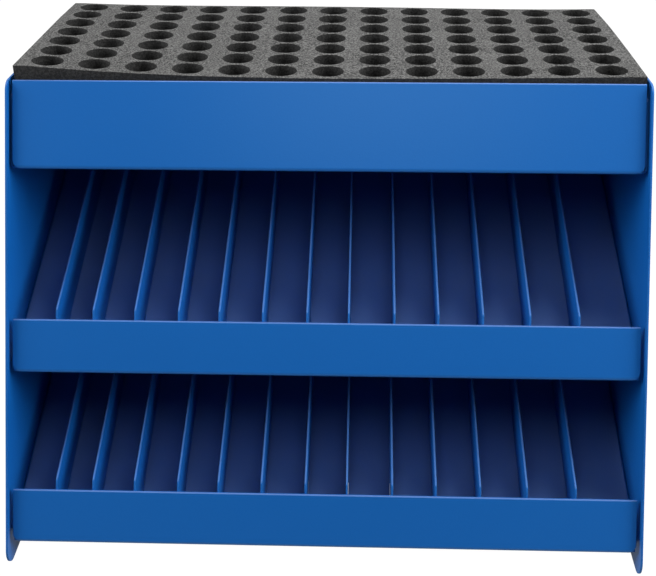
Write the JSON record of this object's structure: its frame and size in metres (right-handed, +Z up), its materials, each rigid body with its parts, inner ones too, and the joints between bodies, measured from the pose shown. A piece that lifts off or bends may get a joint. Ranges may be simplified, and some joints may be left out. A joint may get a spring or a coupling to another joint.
{
  "type": "tool display rack",
  "caption": "Counter rack of bent blue sheet steel with a foam tray of round sockets on top and two sloping shelves split into lanes by dividers.",
  "frame": {"origin": "middle of the footprint, on the surface that the rack stands on", "axes": "+X to the viewer's right, +Y to the back, +Z up; the rack's front faces -Y"},
  "size_m": [0.5044, 0.388, 0.3438],
  "materials": {
    "blue_sheet": "blue powder coat, semi-gloss with fine orange peel",
    "foam": "dark grey closed-cell foam, matte",
    "fasteners": "zinc plated"
  },
  "bodies": {
    "rack": {"left_side_panel": "blue_sheet", "right_side_panel": "blue_sheet", "top_tray": "blue_sheet", "upper_shelf": "blue_sheet", "lower_shelf": "blue_sheet", "upper_divider_01": "blue_sheet", "upper_divider_02": "blue_sheet", "upper_divider_03": "blue_sheet", "upper_divider_04": "blue_sheet", "upper_divider_05": "blue_sheet", "upper_divider_06": "blue_sheet", "upper_divider_07": "blue_sheet", "upper_divider_08": "blue_sheet", "upper_divider_09": "blue_sheet", "upper_divider_10": "blue_sheet", "upper_divider_11": "blue_sheet", "upper_divider_12": "blue_sheet", "upper_divider_13": "blue_sheet", "lower_divider_01": "blue_sheet", "lower_divider_02": "blue_sheet", "lower_divider_03": "blue_sheet", "lower_divider_04": "blue_sheet", "lower_divider_05": "blue_sheet", "lower_divider_06": "blue_sheet", "lower_divider_07": "blue_sheet", "lower_divider_08": "blue_sheet", "lower_divider_09": "blue_sheet", "lower_divider_10": "blue_sheet", "lower_divider_11": "blue_sheet", "lower_divider_12": "blue_sheet", "lower_divider_13": "blue_sheet", "tray_screws": "fasteners", "upper_shelf_screws": "fasteners", "lower_shelf_screws": "fasteners", "tray_nuts": "fasteners", "upper_shelf_nuts": "fasteners", "lower_shelf_nuts": "fasteners"},
    "foam": {"foam_insert": "foam"}
  },
  "joints": [
    {"name": "foam_lift", "type": "slide", "parent": "rack", "child": "foam", "axis": [0, 0, 1], "range_m": [0, 0.07]}
  ]
}
